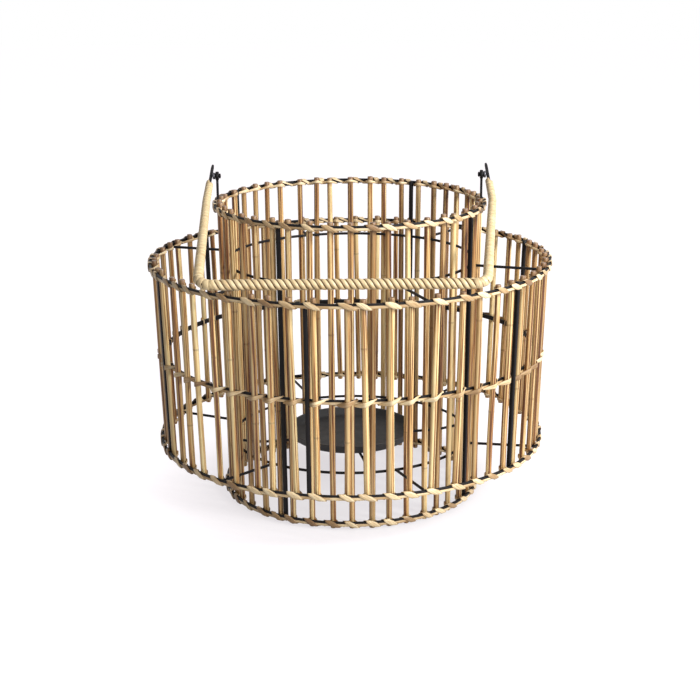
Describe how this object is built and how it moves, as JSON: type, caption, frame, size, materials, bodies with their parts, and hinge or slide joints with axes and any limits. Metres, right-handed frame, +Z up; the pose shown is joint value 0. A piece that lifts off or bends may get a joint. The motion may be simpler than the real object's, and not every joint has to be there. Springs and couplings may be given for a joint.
{
  "type": "cane candle lantern",
  "caption": "Candle lantern of upright canes lashed to iron hoops, a narrow drum inside a wide one, with a candle pan on wires and a bound bail handle that swings over the top.",
  "frame": {"origin": "centre of the base, on the axis of both drums, at the level of the inner canes' lower ends", "axes": "+Z up along the axis of both drums; the handle's pivot line runs along X; at rest the handle lies towards -Y"},
  "size_m": [0.385, 0.385, 0.3165],
  "materials": {
    "iron": "matte black",
    "pan": "matte charcoal",
    "bush": "dull grey",
    "cane": "satin natural",
    "peel": "satin natural",
    "handle_binding": "satin natural"
  },
  "bodies": {
    "lantern": {"inner_top_hoop": "iron", "inner_bottom_hoop": "iron", "outer_top_hoop": "iron", "outer_middle_hoop": "iron", "outer_bottom_hoop": "iron", "inner_uprights": "iron", "outer_uprights": "iron", "upper_wire_ring": "iron", "lower_wire_ring": "iron", "upper_spokes": "iron", "lower_spokes": "iron", "pan_wire_long": "iron", "pan_wire_cross": "iron", "candle_pan": "pan", "left_eye_post": "iron", "right_eye_post": "iron", "inner_staves": "cane", "outer_staves": "cane", "inner_top_lashing": "peel", "inner_bottom_lashing": "peel", "outer_top_lashing": "peel", "outer_middle_lashing": "peel", "outer_bottom_lashing": "peel"},
    "handle": {"bail_wire": "iron", "left_pivot_pin": "iron", "right_pivot_pin": "iron", "left_bush": "bush", "right_bush": "bush", "left_arm_wrap": "handle_binding", "right_arm_wrap": "handle_binding", "grip_core": "handle_binding", "grip_winding": "handle_binding"}
  },
  "joints": [
    {"name": "handle_swing", "type": "hinge", "parent": "lantern", "child": "handle", "pos_m": [0, 0, 0.308], "axis": [-1, 0, 0], "range_deg": [0, 226.6]}
  ]
}
